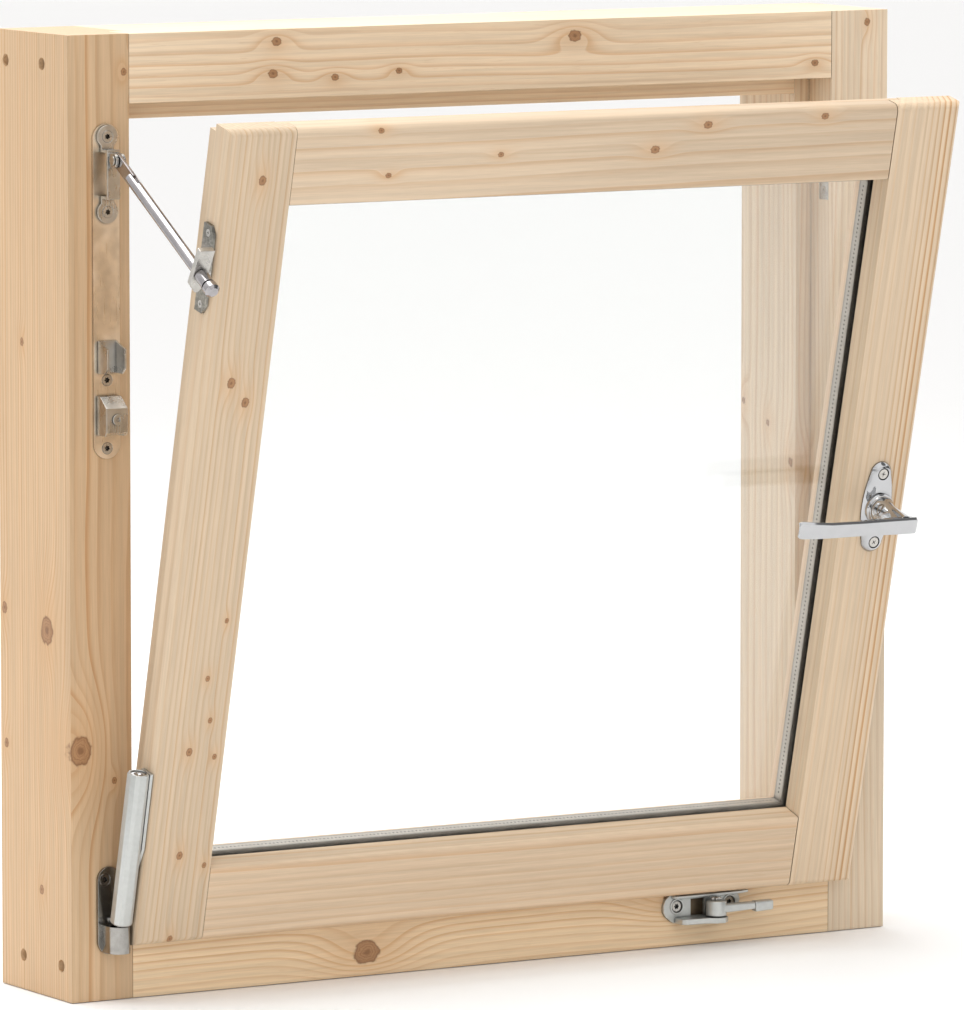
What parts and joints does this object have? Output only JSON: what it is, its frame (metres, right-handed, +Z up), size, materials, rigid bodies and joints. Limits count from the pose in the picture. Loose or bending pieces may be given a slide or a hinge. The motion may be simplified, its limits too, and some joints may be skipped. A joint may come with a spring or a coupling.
{
  "type": "window sash with frame, stay and handle",
  "caption": "Bottom-hung tilting window: softwood frame with a double-glazed sash, folding stay, corner hinge, keeper and turn handle.",
  "frame": {"origin": "centre of the frame's underside", "axes": "+X along the width to the handle side, +Y towards the weather side, +Z up"},
  "size_m": [0.69, 0.2676, 0.69],
  "materials": {
    "frame_pine": "planed, unfinished",
    "sash_pine": "planed, unfinished",
    "pane": "clear",
    "spacer_alloy": "matt, perforated",
    "black_rubber": "matt",
    "zinc_steel": "bright zinc plated",
    "chrome_plate": "polished",
    "satin_zinc": "satin silver",
    "dark_plate": "glossy, dark"
  },
  "bodies": {
    "frame": {"frame_left_stile": "frame_pine", "frame_right_stile": "frame_pine", "frame_top_rail": "frame_pine", "frame_bottom_rail": "frame_pine", "frame_corner_screws": "zinc_steel", "stay_strip": "zinc_steel", "stay_bracket": "zinc_steel", "stay_pivot_pin": "zinc_steel", "strip_screws": "zinc_steel", "stay_fork": "zinc_steel", "lower_keep": "zinc_steel", "keep_adjuster": "zinc_steel", "hinge_plate": "dark_plate", "hinge_plate_screw": "dark_plate", "keeper_plate": "satin_zinc", "keeper_pin": "zinc_steel", "keeper_screws": "zinc_steel", "strike_plates": "zinc_steel", "strike_screws": "zinc_steel"},
    "sash": {"sash_left_stile": "sash_pine", "sash_right_stile": "sash_pine", "sash_top_rail": "sash_pine", "sash_bottom_rail": "sash_pine", "glass_pane_room": "pane", "glass_pane_weather": "pane", "glass_spacer": "spacer_alloy", "glass_edge_seal": "black_rubber", "glazing_gasket": "black_rubber", "glazing_bead_left": "sash_pine", "glazing_bead_right": "sash_pine", "glazing_bead_top": "sash_pine", "glazing_bead_bottom": "sash_pine", "bead_pins": "zinc_steel", "hinge_sleeve": "satin_zinc", "hinge_leaf": "satin_zinc", "hinge_ball_pin": "zinc_steel", "hinge_cap": "chrome_plate", "hinge_leaf_screws": "zinc_steel", "guide_plate": "zinc_steel", "guide_plate_screws": "zinc_steel", "lock_faceplate": "zinc_steel", "lock_faceplate_screws": "zinc_steel", "lock_case": "zinc_steel", "handle_base": "chrome_plate", "handle_screws": "chrome_plate"},
    "handle": {"handle_lever": "chrome_plate", "handle_spindle": "zinc_steel", "lock_pinion": "zinc_steel"},
    "lock_rod": {"drive_rod": "zinc_steel", "roller_cams": "zinc_steel"},
    "stay": {"stay_rod": "zinc_steel", "stay_blade": "zinc_steel", "stay_end_stop": "zinc_steel"},
    "stay_guide": {"guide_block": "zinc_steel", "guide_pin": "zinc_steel"},
    "keeper_arm": {"keeper_lever": "satin_zinc"}
  },
  "joints": [
    {"name": "sash_tilt", "type": "hinge", "parent": "frame", "child": "sash", "pos_m": [0, -0.0655, 0.042], "axis": [1, 0, 0], "range_deg": [-13.64, 0]},
    {"name": "stay_swing", "type": "hinge", "parent": "frame", "child": "stay", "pos_m": [-0.3155, -0.073, 0.602], "axis": [1, 0, 0], "range_deg": [0, 59.15]},
    {"name": "stay_slide", "type": "slide", "parent": "stay", "child": "stay_guide", "axis": [0, 0.8585, 0.5128], "range_m": [0, 0.08347]},
    {"name": "handle_turn", "type": "hinge", "parent": "sash", "child": "handle", "pos_m": [0.2786, -0.12409, 0.33433], "axis": [0, -0.9718, -0.2358], "range_deg": [0, 90]},
    {"name": "lock_rod_slide", "type": "slide", "parent": "sash", "child": "lock_rod", "axis": [0, -0.2358, 0.9718], "range_m": [0, 0.01257]},
    {"name": "keeper_turn", "type": "hinge", "parent": "frame", "child": "keeper_arm", "pos_m": [0.189, -0.066, 0.028], "axis": [0, 0, 1], "range_deg": [-90, 0]}
  ],
  "couplings": [
    {"joint": "stay_swing", "follows": "sash_tilt", "ratio": -4.3364},
    {"joint": "stay_slide", "follows": "sash_tilt", "m_per_rad": -0.35063},
    {"joint": "lock_rod_slide", "follows": "handle_turn", "m_per_rad": 0.008}
  ]
}
